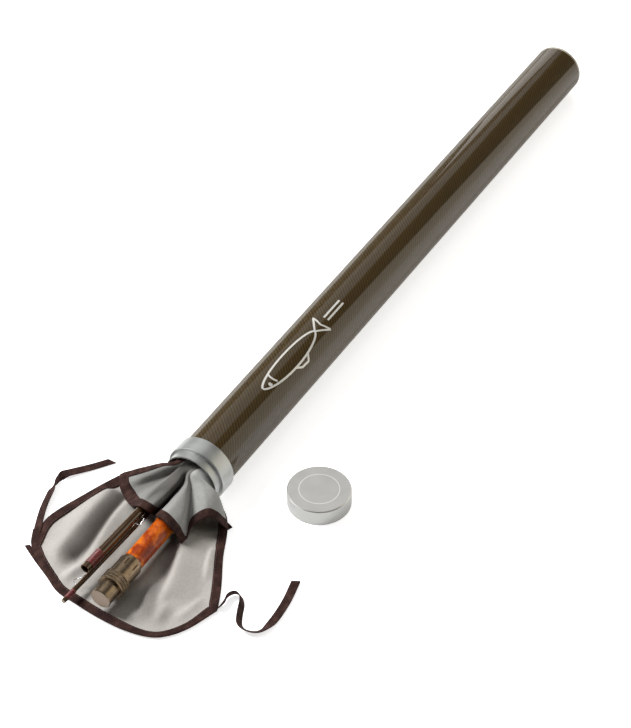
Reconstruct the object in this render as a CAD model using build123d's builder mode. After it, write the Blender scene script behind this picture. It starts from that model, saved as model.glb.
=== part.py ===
"""A rod case: a composite tube with an aluminium mouth collar, a screw cap and a four-pocket rod sock.

The tube lies on the floor with its sock drawn out of the mouth, a three-piece rod in the sock's
pockets, and the cap set down beside the mouth. Millimetres. +X runs along the tube from the mouth
to the base, +Z is up, and the origin is on the floor under the middle of the object without its ties.
"""

from build123d import *
import math
import os

os.makedirs("parts", exist_ok=True)

# Where the mouth stands: the point on the floor under the collar's front shoulder.
mouth_x = -268.11
mouth_y = 11.855

# Tube and collar
tube_radius = 25.4
tube_bore = 24.2
tube_length = 700.0
collar_radius = 27.9
collar_length = 16.5
collar_bevel = 0.7
collar_seat = 25.1
neck_radius = 25.0
neck_bore = 23.6
neck_length = 8.0
neck_relief = 1.6
base_flange = 1.6
base_radius = tube_radius
base_plug = 22.0
base_wall = 1.5
base_pad_thickness = 8.0
rest_lift = 0.06

# Cap
cap_x = 49.2
cap_y = -93.0
cap_radius = 27.9
cap_height = 15.5
cap_top = 2.0
cap_bore = 25.3
cap_bevel = 0.8
liner_thickness = 3.0
liner_radius = 25.1

# Rod sock
cloth = 0.8
sleeve_radius = 23.3
sleeve_end = 545.0
mouth_gap = 0.6
seam_gap = 0.1
throat_end = -20.0
fan_left = 62.0
fan_right = -42.0
fan_height = 35.0
flap_thickness = 1.2
flap_corner = 9.0
lip_tape = 10.0
tape = 0.7
hem_width = 10.5
hem_end = -41.0
tie_width = 7.6
tie_thickness = 1.0

# Rod sections
section_length = 675.0
fit_gap = 0.05
butt_y = -5.5
butt_z = 19.2
butt_start = -151.5
middle_start = -133.0
tip_start = -164.0
handle_core = 5.0
butt_tip_radius = 3.6
middle_tip_radius = 2.4
tip_end_radius = 0.8

# The tube rests on its collar and on its base rim, so its axis falls a little towards the base,
# and the collar stands on its rear edge with the shoulder lifted by rest_lift.
mouth_height = collar_radius + rest_lift
fall = math.atan((mouth_height - base_radius) / tube_length)
tube_direction = Vector(math.cos(fall), 0, -math.sin(fall))
mouth_centre = Vector(mouth_x, mouth_y, mouth_height)


def lengthwise(point, direction):
    """A drawing plane through a point: its x runs along direction, its y stands up."""
    sideways = direction.cross(Vector(0, 0, 1))
    return Plane(origin=point, x_dir=direction, z_dir=sideways)


def band(start, end, inner, outer):
    """One step of a turned profile, from start to end along the axis and inner to outer radius."""
    with Locations(((start + end) / 2, (inner + outer) / 2)):
        Rectangle(end - start, outer - inner)


def cross_plane(distance):
    """The upright plane across the tube, at a distance behind the collar's shoulder."""
    return Plane.YZ.offset(mouth_x + distance)


tube_plane = lengthwise(mouth_centre, tube_direction)
tube_axis = Axis(mouth_centre, tube_direction)

# ---------------------------------------------------------------- tube, collar and base

with BuildPart() as tube_shell:
    with BuildSketch(tube_plane):
        band(neck_relief, collar_length, tube_bore, collar_seat)
        band(collar_length, tube_length - base_flange, tube_bore, tube_radius)
    revolve(axis=tube_axis)
tube_shell.part.label = "tube_shell"

with BuildPart() as mouth_collar:
    with BuildSketch(tube_plane):
        band(0, collar_length, collar_seat, collar_radius)
        band(0, neck_relief, neck_bore, collar_radius)
        band(-neck_length, neck_relief, neck_bore, neck_radius)
    revolve(axis=tube_axis)
    rims = mouth_collar.edges().filter_by(GeomType.CIRCLE).group_by(SortBy.RADIUS)[-1]
    chamfer(rims, collar_bevel)
mouth_collar.part.label = "mouth_collar"

with BuildPart() as base_cap:
    with BuildSketch(tube_plane):
        band(tube_length - base_flange, tube_length, 0, base_radius)
        band(tube_length - base_plug, tube_length - base_flange, tube_bore - base_wall, tube_bore)
    revolve(axis=tube_axis)
    rims = base_cap.edges().filter_by(GeomType.CIRCLE).group_by(SortBy.RADIUS)[-1]
    chamfer(rims.sort_by(Axis.X)[-1], collar_bevel)
base_cap.part.label = "base_cap"

with BuildPart() as base_pad:
    pad_face = tube_length - base_flange - base_pad_thickness
    with BuildSketch(tube_plane):
        band(pad_face, tube_length - base_flange, 0, tube_bore - base_wall)
    revolve(axis=tube_axis)
base_pad.part.label = "base_pad"

# ---------------------------------------------------------------- cap, open side down

cap_foot = Vector(mouth_x + cap_x, mouth_y + cap_y, 0)
cap_plane = Plane(origin=cap_foot, x_dir=(0, 0, 1), z_dir=(0, -1, 0))
cap_axis = Axis(cap_foot, (0, 0, 1))

with BuildPart() as cap_shell:
    with BuildSketch(cap_plane):
        band(cap_height - cap_top, cap_height, 0, cap_radius)
        band(0, cap_height - cap_top, cap_bore, cap_radius)
    revolve(axis=cap_axis)
    crown = cap_shell.edges().filter_by(GeomType.CIRCLE).group_by(Axis.Z)[-1]
    chamfer(crown, cap_bevel)
cap_shell.part.label = "cap_shell"

with BuildPart() as cap_liner:
    liner_top = cap_height - cap_top - fit_gap
    with BuildSketch(cap_plane):
        band(liner_top - liner_thickness, liner_top, 0, liner_radius)
    revolve(axis=cap_axis)
cap_liner.part.label = "cap_liner"

# ---------------------------------------------------------------- sock: sleeve, throat and flap

throat_start = -neck_length - mouth_gap
sleeve_inner = sleeve_radius - cloth

with BuildPart() as sock_sleeve:
    with BuildSketch(tube_plane):
        band(throat_start + seam_gap, sleeve_end, sleeve_inner, sleeve_radius)
        band(sleeve_end - cloth, sleeve_end, 0, sleeve_radius)
    revolve(axis=tube_axis)
sock_sleeve.part.label = "sock_sleeve"


def throat_ring(radius):
    """The round end of the throat as four arcs, from its lower right corner round the foot."""
    lift = mouth_height - throat_start * math.tan(fall)
    with BuildLine() as outline:
        for start in (225, 315, 45, 135):
            CenterArc((mouth_y, lift), radius, start, 90)
    make_face(outline.line)


def throat_fan(inset):
    """The wide end of the throat: a flat foot and three bowed sides, each through a middle point."""

    def left_of_axis(y, z):
        return (mouth_y + y - math.copysign(inset, y), z - inset)

    right_foot = (mouth_y + fan_right + inset, flap_thickness + inset)
    left_foot = (mouth_y + fan_left - inset, flap_thickness + inset)
    left_shoulder = left_of_axis(46, 22)
    right_shoulder = left_of_axis(-36, 24)
    with BuildLine() as outline:
        Line(right_foot, left_foot)
        ThreePointArc(left_foot, left_of_axis(57, 14), left_shoulder)
        ThreePointArc(left_shoulder, (mouth_y - 1, fan_height - inset), right_shoulder)
        ThreePointArc(right_shoulder, left_of_axis(-41, 14), right_foot)
    make_face(outline.line)


with BuildPart() as sock_throat:
    with BuildSketch(cross_plane(throat_start)):
        throat_ring(sleeve_radius)
    with BuildSketch(cross_plane(throat_end)):
        throat_fan(0)
    loft(ruled=True)
    with BuildSketch(cross_plane(throat_start)):
        throat_ring(sleeve_inner)
    with BuildSketch(cross_plane(throat_end)):
        throat_fan(cloth)
    loft(ruled=True, mode=Mode.SUBTRACT)
sock_throat.part.label = "sock_throat"


def flap_outline():
    """The flap from above: straight hems, a bowed end and round corners."""
    corners = [(-12, 62), (-30, 77), (-100, 98), (-128, 80), (-153, 38)]
    corners += [(-161, -22), (-153, -60), (-100, -86), (-12, -38)]
    with BuildLine() as outline:
        FilletPolyline(*[(mouth_x + x, mouth_y + y) for x, y in corners], radius=flap_corner, close=True)
    make_face(outline.line)


with BuildPart() as sock_flap:
    with BuildSketch(Plane.XY):
        flap_outline()
    extrude(amount=flap_thickness)
sock_flap.part.label = "sock_flap"

with BuildPart() as flap_binding:
    with BuildSketch(Plane.XY.offset(flap_thickness)):
        flap_outline()
        offset(amount=-hem_width, mode=Mode.SUBTRACT)
        with Locations((mouth_x + hem_end, mouth_y)):
            Rectangle(60, 220, align=(Align.MIN, Align.CENTER), mode=Mode.SUBTRACT)
    extrude(amount=tape)
flap_binding.part.label = "flap_binding"

# ---------------------------------------------------------------- sock: four pockets and their tape

# name: middle (left of the tube's axis), half width, spring height, rise of the arch, lip
pockets = {
    "pocket_left": (44.5, 17.5, 4.0, 8.0, -38.0),
    "pocket_middle_section": (17.8, 8.4, 22.6, 8.4, -54.0),
    "pocket_butt_section": (-5.5, 13.2, 19.2, 13.2, -58.0),
    "pocket_right": (-31.2, 11.6, 10.0, 12.0, -36.0),
}


def arch(middle, half_width, spring, rise, mode=Mode.ADD):
    """An arch that stands on the flap."""
    right = mouth_y + middle - half_width
    left = mouth_y + middle + half_width
    with BuildLine() as outline:
        Polyline((right, spring), (right, flap_thickness), (left, flap_thickness), (left, spring))
        EllipticalCenterArc((mouth_y + middle, spring), half_width, rise, arc_size=180)
    make_face(outline.line, mode=mode)


def arch_shell(middle, half_width, spring, rise, thickness):
    """The cloth of an arch: its outline less the same arch one thickness in."""
    arch(middle, half_width, spring, rise)
    arch(middle, half_width - thickness, spring, rise - thickness, mode=Mode.SUBTRACT)


for name, (middle, half_width, spring, rise, lip) in pockets.items():
    with BuildPart() as pocket:
        with BuildSketch(cross_plane(lip)):
            arch_shell(middle, half_width, spring, rise, cloth)
        extrude(amount=throat_end - lip)
    pocket.part.label = name
    export_step(pocket.part, f"parts/{name}.step")

    with BuildPart() as lip_binding:
        with BuildSketch(cross_plane(lip)):
            arch_shell(middle, half_width + tape, spring, rise + tape, tape)
        extrude(amount=lip_tape)
    lip_binding.part.label = name + "_binding"
    export_step(lip_binding.part, f"parts/{name}_binding.step")

# ---------------------------------------------------------------- ties

left_tie_route = [
    (-94, 100.5), (-87, 102), (-69, 108.5), (-42, 115), (-27, 105), (-14, 96), (-1.5, 87.5),
]
right_tie_route = [
    (-92, -86.5), (-84, -84), (-76.5, -89), (-81.5, -98), (-97, -104), (-109, -111),
    (-105, -127), (-89, -130.5), (-67, -129), (-53, -126.5), (-40, -123.5),
]


def tie_path(route):
    """Straight runs joined by tangent arcs, each as large as its two runs allow."""
    points = [Vector(mouth_x + x, mouth_y + y, tie_thickness / 2) for x, y in route]
    radii = []
    for before, corner, after in zip(points, points[1:], points[2:]):
        turn = math.radians((corner - before).get_angle(after - corner))
        shorter = min((corner - before).length, (after - corner).length)
        radii.append(0.45 * shorter / math.tan(turn / 2))
    print("tie radii", [round(r, 1) for r in radii])
    return FilletPolyline(*points, radius=radii)


for name, route in (("tie_left", left_tie_route), ("tie_right", right_tie_route)):
    with BuildPart() as tie:
        with BuildLine() as path:
            tie_path(route)
        with BuildSketch(Plane(origin=path.line @ 0, x_dir=(0, 0, 1), z_dir=path.line % 0)):
            Rectangle(tie_thickness, tie_width)
        sweep(path=path.line)
    tie.part.label = name
    export_step(tie.part, f"parts/{name}.step")
    run = path.wires()[0].length
    share = tie.part.volume / (tie_thickness * tie_width * run)
    print(name, "length", round(run, 1), "volume share", round(share, 4))

# ---------------------------------------------------------------- butt section: handle and reel seat

butt_direction = Vector(1, 0, 0)
butt_centre = Vector(mouth_x, mouth_y + butt_y, butt_z)
butt_plane = lengthwise(butt_centre, butt_direction)
butt_line = Axis(butt_centre, butt_direction)

plate_thickness = 1.8
barrel_radius = 9.0
barrel_end = -105.0
insert_end = -52.0
insert_radius = 8.9
fixed_hood_radius = 10.2
grip_start = -36.0
grip_end = 129.0
grip_radius = 11.8
grip_waist = 10.6
grip_nose = 7.5
check_radius = 6.6
check_width = 2.0
plate_rim = 0.3
core_bore = handle_core + fit_gap
blank_step = 12.0

with BuildPart() as butt_plate:
    with BuildSketch(butt_plane):
        band(butt_start, butt_start + plate_thickness, 0, barrel_radius + plate_rim)
    revolve(axis=butt_line)
    chamfer(butt_plate.edges().sort_by(Axis.X)[0], 0.4)
butt_plate.part.label = "butt_plate"

with BuildPart() as seat_barrel:
    with BuildSketch(butt_plane):
        band(butt_start + plate_thickness, barrel_end, core_bore, barrel_radius)
    revolve(axis=butt_line)
seat_barrel.part.label = "seat_barrel"

with BuildPart() as seat_insert:
    with BuildSketch(butt_plane):
        band(barrel_end, insert_end, core_bore, insert_radius)
    revolve(axis=butt_line)
seat_insert.part.label = "seat_insert"

with BuildPart() as fixed_hood:
    with BuildSketch(butt_plane):
        band(insert_end - 5, insert_end, insert_radius, fixed_hood_radius)
        band(insert_end, grip_start, core_bore, fixed_hood_radius)
    revolve(axis=butt_line)
fixed_hood.part.label = "fixed_hood"

with BuildPart() as cork_grip:
    with BuildSketch(butt_plane):
        with BuildLine():
            back, front = (grip_start, grip_waist), (grip_end, grip_nose)
            Polyline(back, (grip_start, core_bore), (grip_end, core_bore), front)
            Spline(front, (95, grip_waist), (45, grip_radius), (0, 11.2), back)
        make_face()
    revolve(axis=butt_line)
cork_grip.part.label = "cork_grip"

with BuildPart() as winding_check:
    with BuildSketch(butt_plane):
        band(grip_end, grip_end + check_width, core_bore, check_radius)
    revolve(axis=butt_line)
winding_check.part.label = "winding_check"

with BuildPart() as butt_blank:
    blank_end = butt_start + section_length
    with BuildSketch(butt_plane):
        with BuildLine():
            Polyline(
                (butt_start + plate_thickness, 0), (butt_start + plate_thickness, handle_core),
                (grip_end + blank_step, handle_core), (blank_end, butt_tip_radius),
                (blank_end, 0), close=True,
            )
        make_face()
    revolve(axis=butt_line)
butt_blank.part.label = "butt_blank"

hood_start = -126.0
slide_bore = barrel_radius + fit_gap
hood_length = 18.0
foot_width = 10.0
foot_depth = 8.5
foot_turn = 29.0
hood_radius = 10.3
nut_length = 11.0
nut_radius = 11.5
nut_groove = 0.5
nut_groove_width = 0.6

with BuildPart() as sliding_hood:
    with BuildSketch(butt_plane):
        band(hood_start, hood_start + hood_length, slide_bore, hood_radius)
        band(hood_start + 3, hood_start + 5, hood_radius - nut_groove, hood_radius)
    revolve(axis=butt_line)
    foot_end = butt_centre + butt_direction * (hood_start + hood_length)
    with Locations(Location(foot_end, (foot_turn, 0, 0))):
        Box(2 * foot_depth, foot_width, 2 * hood_radius, align=(Align.CENTER, Align.CENTER, Align.MIN),
            mode=Mode.SUBTRACT)
sliding_hood.part.label = "sliding_hood"

with BuildPart() as lock_nut:
    nut_end = hood_start - fit_gap
    with BuildSketch(butt_plane):
        band(nut_end - nut_length, nut_end, slide_bore, nut_radius)
        for step in (2.5, 5.5, 8.5):
            groove = nut_end - step
            with Locations((groove, nut_radius)):
                Rectangle(nut_groove_width, 2 * nut_groove, mode=Mode.SUBTRACT)
    revolve(axis=butt_line)
lock_nut.part.label = "lock_nut"

# ---------------------------------------------------------------- middle and tip sections


class Section:
    """A rod section's centre line, from its ferrule end to its far end."""

    def __init__(self, start, at_mouth, slope):
        self.direction = Vector(1, slope[0], slope[1]).normalized()
        self.point = Vector(mouth_x, mouth_y + at_mouth[0], at_mouth[1])
        self.plane = lengthwise(self.point, self.direction)
        self.axis = Axis(self.point, self.direction)
        self.start = start


middle = Section(middle_start, (16.5, 25.0), (-0.044, 0.024))
ferrule_length = 52.0
ferrule_radius = 4.3
ferrule_bore = 3.4
wrap = 0.3

with BuildPart() as middle_ferrule:
    with BuildSketch(middle.plane):
        band(middle.start, middle.start + ferrule_length, ferrule_bore, ferrule_radius)
    revolve(axis=middle.axis)
middle_ferrule.part.label = "middle_ferrule"

with BuildPart() as middle_blank:
    far = middle.start + section_length
    with BuildSketch(middle.plane):
        with BuildLine():
            start = middle.start + ferrule_length
            Polyline((start, 0), (start, ferrule_radius), (far, middle_tip_radius), (far, 0), close=True)
        make_face()
    revolve(axis=middle.axis)
middle_blank.part.label = "middle_blank"

with BuildPart() as middle_wrap:
    with BuildSketch(middle.plane):
        band(middle.start + 5, middle.start + 21, ferrule_radius, ferrule_radius + wrap)
    revolve(axis=middle.axis)
middle_wrap.part.label = "middle_wrap"

tip = Section(tip_start, (15.0, 15.5), (-0.05, 0.0256))
tip_radius = 2.1

with BuildPart() as tip_blank:
    far = tip.start + section_length
    with BuildSketch(tip.plane):
        with BuildLine():
            Polyline((tip.start, 0), (tip.start, tip_radius), (far, tip_end_radius), (far, 0), close=True)
        make_face()
    revolve(axis=tip.axis)
tip_blank.part.label = "tip_blank"

with BuildPart() as tip_wrap:
    with BuildSketch(tip.plane):
        band(tip.start + 4, tip.start + 14, tip_radius, tip_radius + wrap)
    revolve(axis=tip.axis)
tip_wrap.part.label = "tip_wrap"

wire = 0.4
guide_gap = 0.02
guide_rise = 4.0
guide_bend = 1.0


def snake_guide(section, middle_at, surface, side):
    """A bent-wire line guide: two feet on the rod and one raised loop, on the side that is named."""
    across = section.plane.z_dir * side
    along = section.direction
    up = across.cross(along)
    centre = section.point + along * middle_at
    foot = surface + wire + guide_gap
    loop = foot + guide_rise
    stations = [(-9, foot, 0), (-4, foot, 0), (-3, loop, -1.5)]
    stations += [(3, loop, 1.5), (4, foot, 0), (9, foot, 0)]
    return [centre + along * a + across * o + up * u for a, o, u in stations]


for name, section, middle_at, surface, side in (
    ("middle_snake_guide", middle, -66, ferrule_radius, 1),
    ("tip_snake_guide", tip, -140, tip_radius, -1),
):
    points = snake_guide(section, middle_at, surface, side)
    with BuildPart() as guide:
        with BuildLine() as bend:
            FilletPolyline(*points, radius=guide_bend)
        with BuildSketch(Plane(origin=bend.line @ 0, z_dir=bend.line % 0)):
            Circle(wire)
        sweep(path=bend.line)
    guide.part.label = name
    export_step(guide.part, f"parts/{name}.step")

for piece in (
    tube_shell, mouth_collar, base_cap, base_pad, cap_shell, cap_liner,
    sock_sleeve, sock_throat, sock_flap, flap_binding,
    butt_plate, seat_barrel, seat_insert, fixed_hood, cork_grip, winding_check, butt_blank,
    sliding_hood, lock_nut,
    middle_ferrule, middle_blank, middle_wrap, tip_blank, tip_wrap,
):
    export_step(piece.part, f"parts/{piece.part.label}.step")
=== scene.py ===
"""Looks of the rod case: tube and collar, screw cap, rod sock with ties, and the rod in its pockets.

The CAD pieces keep their shape and get materials; the sock's cloth, tapes and ties are drawn here.
Places on the sock are millimetres from the floor under the collar's shoulder, with x along the tube.
"""

import math

import bpy
import numpy as np
from mathutils import Matrix, Vector, noise
from mathutils.bvhtree import BVHTree


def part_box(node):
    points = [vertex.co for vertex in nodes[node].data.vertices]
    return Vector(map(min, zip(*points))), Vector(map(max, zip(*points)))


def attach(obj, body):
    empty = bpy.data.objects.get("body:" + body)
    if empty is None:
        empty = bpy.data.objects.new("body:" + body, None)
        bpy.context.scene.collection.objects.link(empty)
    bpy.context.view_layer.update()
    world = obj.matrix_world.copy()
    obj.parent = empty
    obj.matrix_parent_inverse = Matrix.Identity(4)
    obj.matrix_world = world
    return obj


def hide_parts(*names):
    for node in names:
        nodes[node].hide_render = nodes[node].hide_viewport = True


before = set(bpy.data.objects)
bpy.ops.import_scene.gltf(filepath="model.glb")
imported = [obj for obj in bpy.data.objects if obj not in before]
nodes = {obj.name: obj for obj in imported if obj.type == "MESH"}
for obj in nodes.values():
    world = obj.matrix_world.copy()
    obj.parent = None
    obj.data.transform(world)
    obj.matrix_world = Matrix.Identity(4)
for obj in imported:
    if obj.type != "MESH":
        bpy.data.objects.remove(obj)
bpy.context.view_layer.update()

MM = 0.001
TUBE_RADIUS = 25.4
TUBE_LENGTH = 700.0
NECK_LENGTH = 8.0
CLOTH = 0.8 * MM
LOOK = "_look"

collar_low, collar_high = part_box("mouth_collar")
mouth_x = collar_low.x + NECK_LENGTH * MM
mouth_y = (collar_low.y + collar_high.y) / 2
tube_height = (collar_low.z + collar_high.z) / 2
base_low, base_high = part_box("base_cap")
base_height = (base_low.z + base_high.z) / 2


def at(x, y, z):
    """A point given in millimetres from the floor under the collar's shoulder."""
    return Vector((mouth_x + x * MM, mouth_y + y * MM, z * MM))


# --- camera


def make_camera():
    data = bpy.data.cameras.new("camera")
    data.lens = 109.37
    data.clip_start = 0.05
    camera = bpy.data.objects.new("camera", data)
    camera.location = at(-1084.9, -763.4, 1373.4)
    camera.rotation_mode = "QUATERNION"
    camera.rotation_quaternion = Vector((0.63242, 0.37590, -0.67731)).to_track_quat("-Z", "Y")
    bpy.context.collection.objects.link(camera)
    bpy.context.scene.camera = camera


make_camera()

# --- mesh helpers


def smooth_curve(points, steps):
    """Points along a smooth curve through the given ones, with that many steps between two."""
    points = np.array([tuple(p) for p in points], float)
    ends = 2 * points[0] - points[1], 2 * points[-1] - points[-2]
    padded = np.vstack([ends[0], points, ends[1]])
    out = []
    for a, b, c, d in zip(padded, padded[1:], padded[2:], padded[3:]):
        for t in np.arange(steps) / steps:
            bend = 2 * a - 5 * b + 4 * c - d
            swing = 3 * b - a - 3 * c + d
            out.append((2 * b + (c - a) * t + bend * t**2 + swing * t**3) / 2)
    out.append(points[-1])
    return np.array(out)


def surface(rays, along, across):
    """A smooth grid through rays of points: rows run across the rays, columns along them."""
    lines = [smooth_curve(ray, along) for ray in rays]
    rows = [smooth_curve([line[i] for line in lines], across) for i in range(len(lines[0]))]
    return np.array(rows)


def new_mesh(name, verts, faces):
    mesh = bpy.data.meshes.new(name)
    mesh.from_pydata([tuple(v) for v in verts], [], faces)
    mesh.validate()
    mesh.update()
    mesh.polygons.foreach_set("use_smooth", [True] * len(mesh.polygons))
    piece = bpy.data.objects.new(name, mesh)
    bpy.context.collection.objects.link(piece)
    return piece


def strip_faces(rows, columns, closed=False):
    """Quads of a grid of points, row after row; in a closed one the last column joins the first."""
    faces = []
    for i in range(rows - 1):
        for j in range(columns if closed else columns - 1):
            k, m = i + 1, (j + 1) % columns
            faces.append((i * columns + j, i * columns + m, k * columns + m, k * columns + j))
    return faces


def grid_mesh(name, grid):
    rows, columns = len(grid), len(grid[0])
    return new_mesh(name, np.reshape(grid, (-1, 3)), strip_faces(rows, columns))


def lay_uv(piece, columns, lengths):
    """A map named cloth: u is metres along a strip, v is metres across it."""
    layer = piece.data.uv_layers.new(name="cloth")
    for loop in piece.data.loops:
        i, j = divmod(loop.vertex_index, columns)
        layer.data[loop.index].uv = lengths(i, j)


def thicken(piece, thickness, offset=0.0):
    modifier = piece.modifiers.new("thickness", "SOLIDIFY")
    modifier.thickness = thickness
    modifier.offset = offset
    modifier.use_even_offset = False


def dress(piece, material, body):
    """Give a new piece its material and its body."""
    piece.data.materials.append(material)
    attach(piece, body)


# --- materials


class Shader:
    """A material with a Principled shader, and short ways to add nodes to it."""

    def __init__(self, name, **settings):
        self.material = bpy.data.materials.new(name + LOOK)
        self.material.use_nodes = True
        self.tree = self.material.node_tree
        self.bsdf = self.tree.nodes["Principled BSDF"]
        for key, value in settings.items():
            label = key.replace("_", " ").title().replace("Ior", "IOR")
            self.bsdf.inputs[label].default_value = value

    def node(self, kind, inputs=(), **settings):
        node = self.tree.nodes.new("ShaderNode" + kind)
        for key, value in settings.items():
            setattr(node, key, value)
        for key, value in dict(inputs).items():
            self.feed(node.inputs[key], value)
        return node

    def feed(self, socket, value):
        if isinstance(value, bpy.types.NodeSocket):
            self.tree.links.new(value, socket)
        else:
            socket.default_value = value

    def math(self, operation, *values):
        node = self.tree.nodes.new("ShaderNodeMath")
        node.operation = operation
        for socket, value in zip(node.inputs, values):
            self.feed(socket, value)
        return node.outputs[0]

    def plus(self, a, b):
        return self.math("ADD", a, b)

    def minus(self, a, b):
        return self.math("SUBTRACT", a, b)

    def times(self, a, b):
        return self.math("MULTIPLY", a, b)

    def below(self, a, b):
        return self.math("LESS_THAN", a, b)

    def above(self, a, b):
        return self.math("GREATER_THAN", a, b)

    def sine(self, a):
        return self.math("SINE", a)

    def place(self):
        return self.node("TexCoord").outputs["Object"]

    def axes(self, vector=None):
        return self.node("SeparateXYZ", {"Vector": vector or self.place()}).outputs[:3]

    def join(self, x, y, z):
        return self.node("CombineXYZ", {"X": x, "Y": y, "Z": z}).outputs[0]

    def noise(self, scale, vector=None, detail=3.0, roughness=0.5):
        vector = vector or self.place()
        settings = {"Vector": vector, "Scale": scale, "Detail": detail, "Roughness": roughness}
        return self.node("TexNoise", settings).outputs["Fac"]

    def ramp(self, value, *stops):
        """A colour ramp: stops are (position, colour), the colour linear RGB."""
        node = self.node("ValToRGB", {"Fac": value})
        elements = node.color_ramp.elements
        while len(elements) < len(stops):
            elements.new(0.5)
        for element, (position, colour) in zip(elements, stops):
            element.position = position
            element.color = (*colour, 1.0)
        return node.outputs[0]

    def mix(self, factor, a, b):
        """A mix of two colours, each a socket or linear RGB."""
        node = self.tree.nodes.new("ShaderNodeMix")
        node.data_type = "RGBA"
        self.feed(node.inputs["Factor"], factor)
        for key, colour in (("A", a), ("B", b)):
            is_socket = isinstance(colour, bpy.types.NodeSocket)
            self.feed(node.inputs[key], colour if is_socket else (*colour, 1.0))
        return node.outputs["Result"]

    def spread(self, value, low, high):
        """A value from 0 to 1 spread out between two others."""
        return self.node("MapRange", {"Value": value, "To Min": low, "To Max": high}).outputs[0]

    def bump(self, height, distance, strength, after=None):
        settings = {"Height": height, "Distance": distance, "Strength": strength}
        if after is not None:
            settings["Normal"] = after
        return self.node("Bump", settings).outputs[0]

    def set(self, key, value):
        self.feed(self.bsdf.inputs[key], value)


def make_composite():
    """Dark olive-brown twill with a pale end ring, under a clear coat that is weaker on the flanks."""
    tow = 0.95 * MM
    twill_repeat = 4
    end_ring = 1.6 * MM
    s = Shader("tube_composite", roughness=0.5, specular_ior_level=0.15, coat_weight=0.6,
               coat_roughness=0.03, coat_ior=1.42)
    x, y, z = s.axes()
    middle_height = (tube_height + base_height) / 2
    angle = s.math("ARCTAN2", s.minus(z, middle_height), s.minus(y, mouth_y))
    repeats = round(2 * math.pi * TUBE_RADIUS * MM / tow / twill_repeat)
    around = s.times(angle, repeats * twill_repeat / (2 * math.pi))
    along = s.times(x, 1 / tow)
    step = s.plus(s.math("FLOOR", around), s.math("FLOOR", along))
    weft_on_top = s.below(s.math("FLOORED_MODULO", step, twill_repeat), twill_repeat / 2)
    warp_round = s.sine(s.times(s.math("FRACT", around), math.pi))
    weft_round = s.sine(s.times(s.math("FRACT", along), math.pi))
    crown = s.node("Mix", {"Factor": weft_on_top, "A": warp_round, "B": weft_round}).outputs[0]
    stretch = s.join(s.times(x, 60.0), s.times(angle, 90.0), 0.0)
    streak = s.times(s.noise(1.0, stretch, detail=2.0), 0.4)
    warp = s.ramp(s.plus(s.times(warp_round, 0.6), streak), (0.1, (0.011, 0.007, 0.0015)),
                  (0.9, (0.078, 0.049, 0.009)))
    weft = s.ramp(s.plus(s.times(weft_round, 0.6), streak), (0.1, (0.006, 0.004, 0.001)),
                  (0.9, (0.027, 0.017, 0.004)))
    haze = s.ramp(s.noise(14.0, detail=2.0), (0.3, (0.0,) * 3), (0.7, (0.3,) * 3))
    colour = s.mix(haze, s.mix(weft_on_top, warp, weft), (0.026, 0.018, 0.006))
    at_end = s.above(x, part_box("tube_shell")[1].x - end_ring)
    s.set("Base Color", s.mix(at_end, colour, (0.42, 0.42, 0.40)))
    s.set("Coat Tint", (1.0, 0.90, 0.74, 1.0))
    coat = s.ramp(s.times(angle, 1 / math.pi), (0.28, (0.22,) * 3), (0.38, (0.9,) * 3),
                  (0.80, (0.9,) * 3), (0.92, (0.45,) * 3))
    s.set("Coat Weight", coat)
    s.set("Normal", s.bump(crown, 0.12 * MM, 0.6))
    return s.material


def turned_lines(s, distance, strength):
    """Fine turning marks that follow a distance."""
    settings = {"W": distance, "Scale": 5200.0, "Detail": 2.0}
    marks = s.node("TexNoise", settings, noise_dimensions="1D")
    return s.bump(marks.outputs["Fac"], 0.02 * MM, strength)


def make_aluminium():
    """Satin aluminium with turning marks: along x on the collar, round the cap's axis on the cap.

    The cap's top has a thin bright ring, and is painted lighter than the collar, a painted highlight; its
    side is painted darker, a painted shade.
    """
    cap_reach, cap_edge = 30.0 * MM, 1.0 * MM
    ring_radius, ring_half_width = 17.5 * MM, 0.35 * MM
    s = Shader("satin_aluminium", metallic=1.0)
    x, y, z = s.axes()
    low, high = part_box("cap_shell")
    from_x = s.minus(x, (low.x + high.x) / 2)
    from_y = s.minus(y, (low.y + high.y) / 2)
    squares = [s.times(side, side) for side in (from_x, from_y)]
    radius = s.math("SQRT", s.plus(*squares))
    on_cap = s.below(radius, cap_reach)
    distance = s.node("Mix", {"Factor": on_cap, "A": x, "B": s.plus(radius, z)}).outputs[0]
    cloud = s.noise(90.0, detail=4.0)
    collar_tone = s.ramp(cloud, (0.3, (0.37, 0.38, 0.37)), (0.7, (0.44, 0.45, 0.44)))
    # Painted highlight: the cap is given a lighter tone than the collar.
    cap_tone = s.ramp(cloud, (0.3, (0.50, 0.495, 0.475)), (0.7, (0.54, 0.535, 0.515)))
    off_ring = s.math("ABSOLUTE", s.minus(radius, ring_radius))
    cap_tone = s.mix(s.below(off_ring, ring_half_width), cap_tone, (0.80, 0.79, 0.77))
    # Painted shade: the cap's side below its top edge is painted darker.
    cap_tone = s.mix(s.below(z, high.z - cap_edge), cap_tone, (0.33, 0.33, 0.32))
    s.set("Base Color", s.mix(on_cap, collar_tone, cap_tone))
    s.set("Roughness", s.spread(cloud, 0.42, 0.50))
    s.set("Normal", turned_lines(s, distance, 0.35))
    return s.material


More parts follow.
